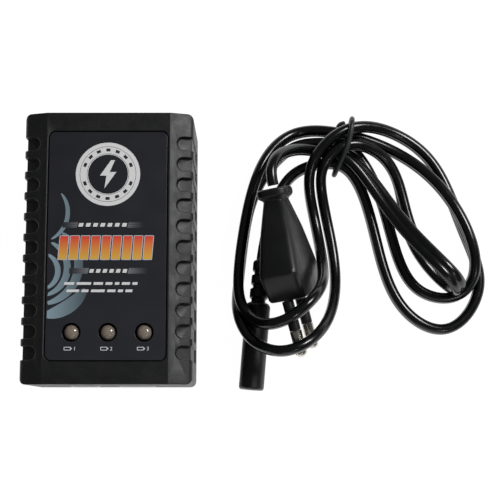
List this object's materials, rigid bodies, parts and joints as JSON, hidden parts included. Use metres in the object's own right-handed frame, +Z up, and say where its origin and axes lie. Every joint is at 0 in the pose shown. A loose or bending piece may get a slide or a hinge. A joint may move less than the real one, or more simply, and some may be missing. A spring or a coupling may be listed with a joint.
{
  "type": "balance battery charger",
  "caption": "Compact mains charger for small lithium packs: black ribbed case with a recessed label panel, status lamps, balance sockets and a coiled, detachable flat mains lead.",
  "frame": {"origin": "under the middle of the charger's case, on the surface it stands on", "axes": "+X from the case towards the lead; +Y along the case towards the mains inlet end; +Z up, out of the label"},
  "size_m": [0.1536, 0.0945, 0.036],
  "materials": {
    "moulded_shell_abs": "fine spark-eroded texture, satin",
    "label_film": "printed film, satin",
    "diffused_led_epoxy": "milky diffused epoxy, glossy",
    "board_epoxy": "solder-resist over glass epoxy",
    "socket_nylon": "natural nylon, satin",
    "black_plastic": "moulded, satin",
    "tinned_pin": "tin plate",
    "nickel_plated_brass": "nickel plate",
    "ferrite": "sintered, matte",
    "winding_tape": "polyester tape",
    "coil_copper": "enamelled copper wire",
    "capacitor_sleeve": "shrunk sleeve",
    "film_capacitor": "moulded box",
    "mill_aluminium": "mill finish",
    "zinc_plated_steel": "zinc plate",
    "cord_pvc": "extruded flexible PVC, satin",
    "sticker_paper": "blank film sticker"
  },
  "bodies": {
    "charger": {"top_shell": "moulded_shell_abs", "bottom_shell": "moulded_shell_abs", "label_panel": "label_film", "led_1": "diffused_led_epoxy", "led_2": "diffused_led_epoxy", "led_3": "diffused_led_epoxy", "circuit_board": "board_epoxy", "balance_socket_2s": "socket_nylon", "balance_socket_3s": "socket_nylon", "mains_inlet": "black_plastic", "transformer_bobbin": "black_plastic", "bridge_rectifier": "black_plastic", "mains_fuse": "black_plastic", "power_transistor": "black_plastic", "optocoupler": "black_plastic", "charge_control_chip": "black_plastic", "balance_control_chip": "black_plastic", "discharge_resistor_1": "black_plastic", "discharge_resistor_2": "black_plastic", "discharge_resistor_3": "black_plastic", "balance_pin_2s_1": "tinned_pin", "balance_pin_2s_2": "tinned_pin", "balance_pin_2s_3": "tinned_pin", "balance_pin_3s_1": "tinned_pin", "balance_pin_3s_2": "tinned_pin", "balance_pin_3s_3": "tinned_pin", "balance_pin_3s_4": "tinned_pin", "inlet_pin_left": "nickel_plated_brass", "inlet_pin_right": "nickel_plated_brass", "transformer_core": "ferrite", "transformer_winding": "winding_tape", "common_mode_choke": "coil_copper", "bulk_capacitor": "capacitor_sleeve", "output_capacitor_1": "capacitor_sleeve", "output_capacitor_2": "capacitor_sleeve", "suppression_capacitor": "film_capacitor", "heat_sink": "mill_aluminium", "case_screw_1": "zinc_plated_steel", "case_screw_2": "zinc_plated_steel", "case_screw_3": "zinc_plated_steel", "case_screw_4": "zinc_plated_steel", "rating_sticker": "sticker_paper"},
    "lead": {"plug_body": "black_plastic", "plug_pin_upper": "nickel_plated_brass", "plug_pin_lower": "nickel_plated_brass", "plug_sleeve_upper": "black_plastic", "plug_sleeve_lower": "black_plastic", "connector_body": "black_plastic", "connector_contact_upper": "nickel_plated_brass", "connector_contact_lower": "nickel_plated_brass", "mains_cord": "cord_pvc", "cord_tie": "cord_pvc"}
  },
  "joints": [
    {"name": "lead_lift", "type": "slide", "parent": "charger", "child": "lead", "axis": [0, 0, 1], "range_m": [0, 0.06]}
  ]
}
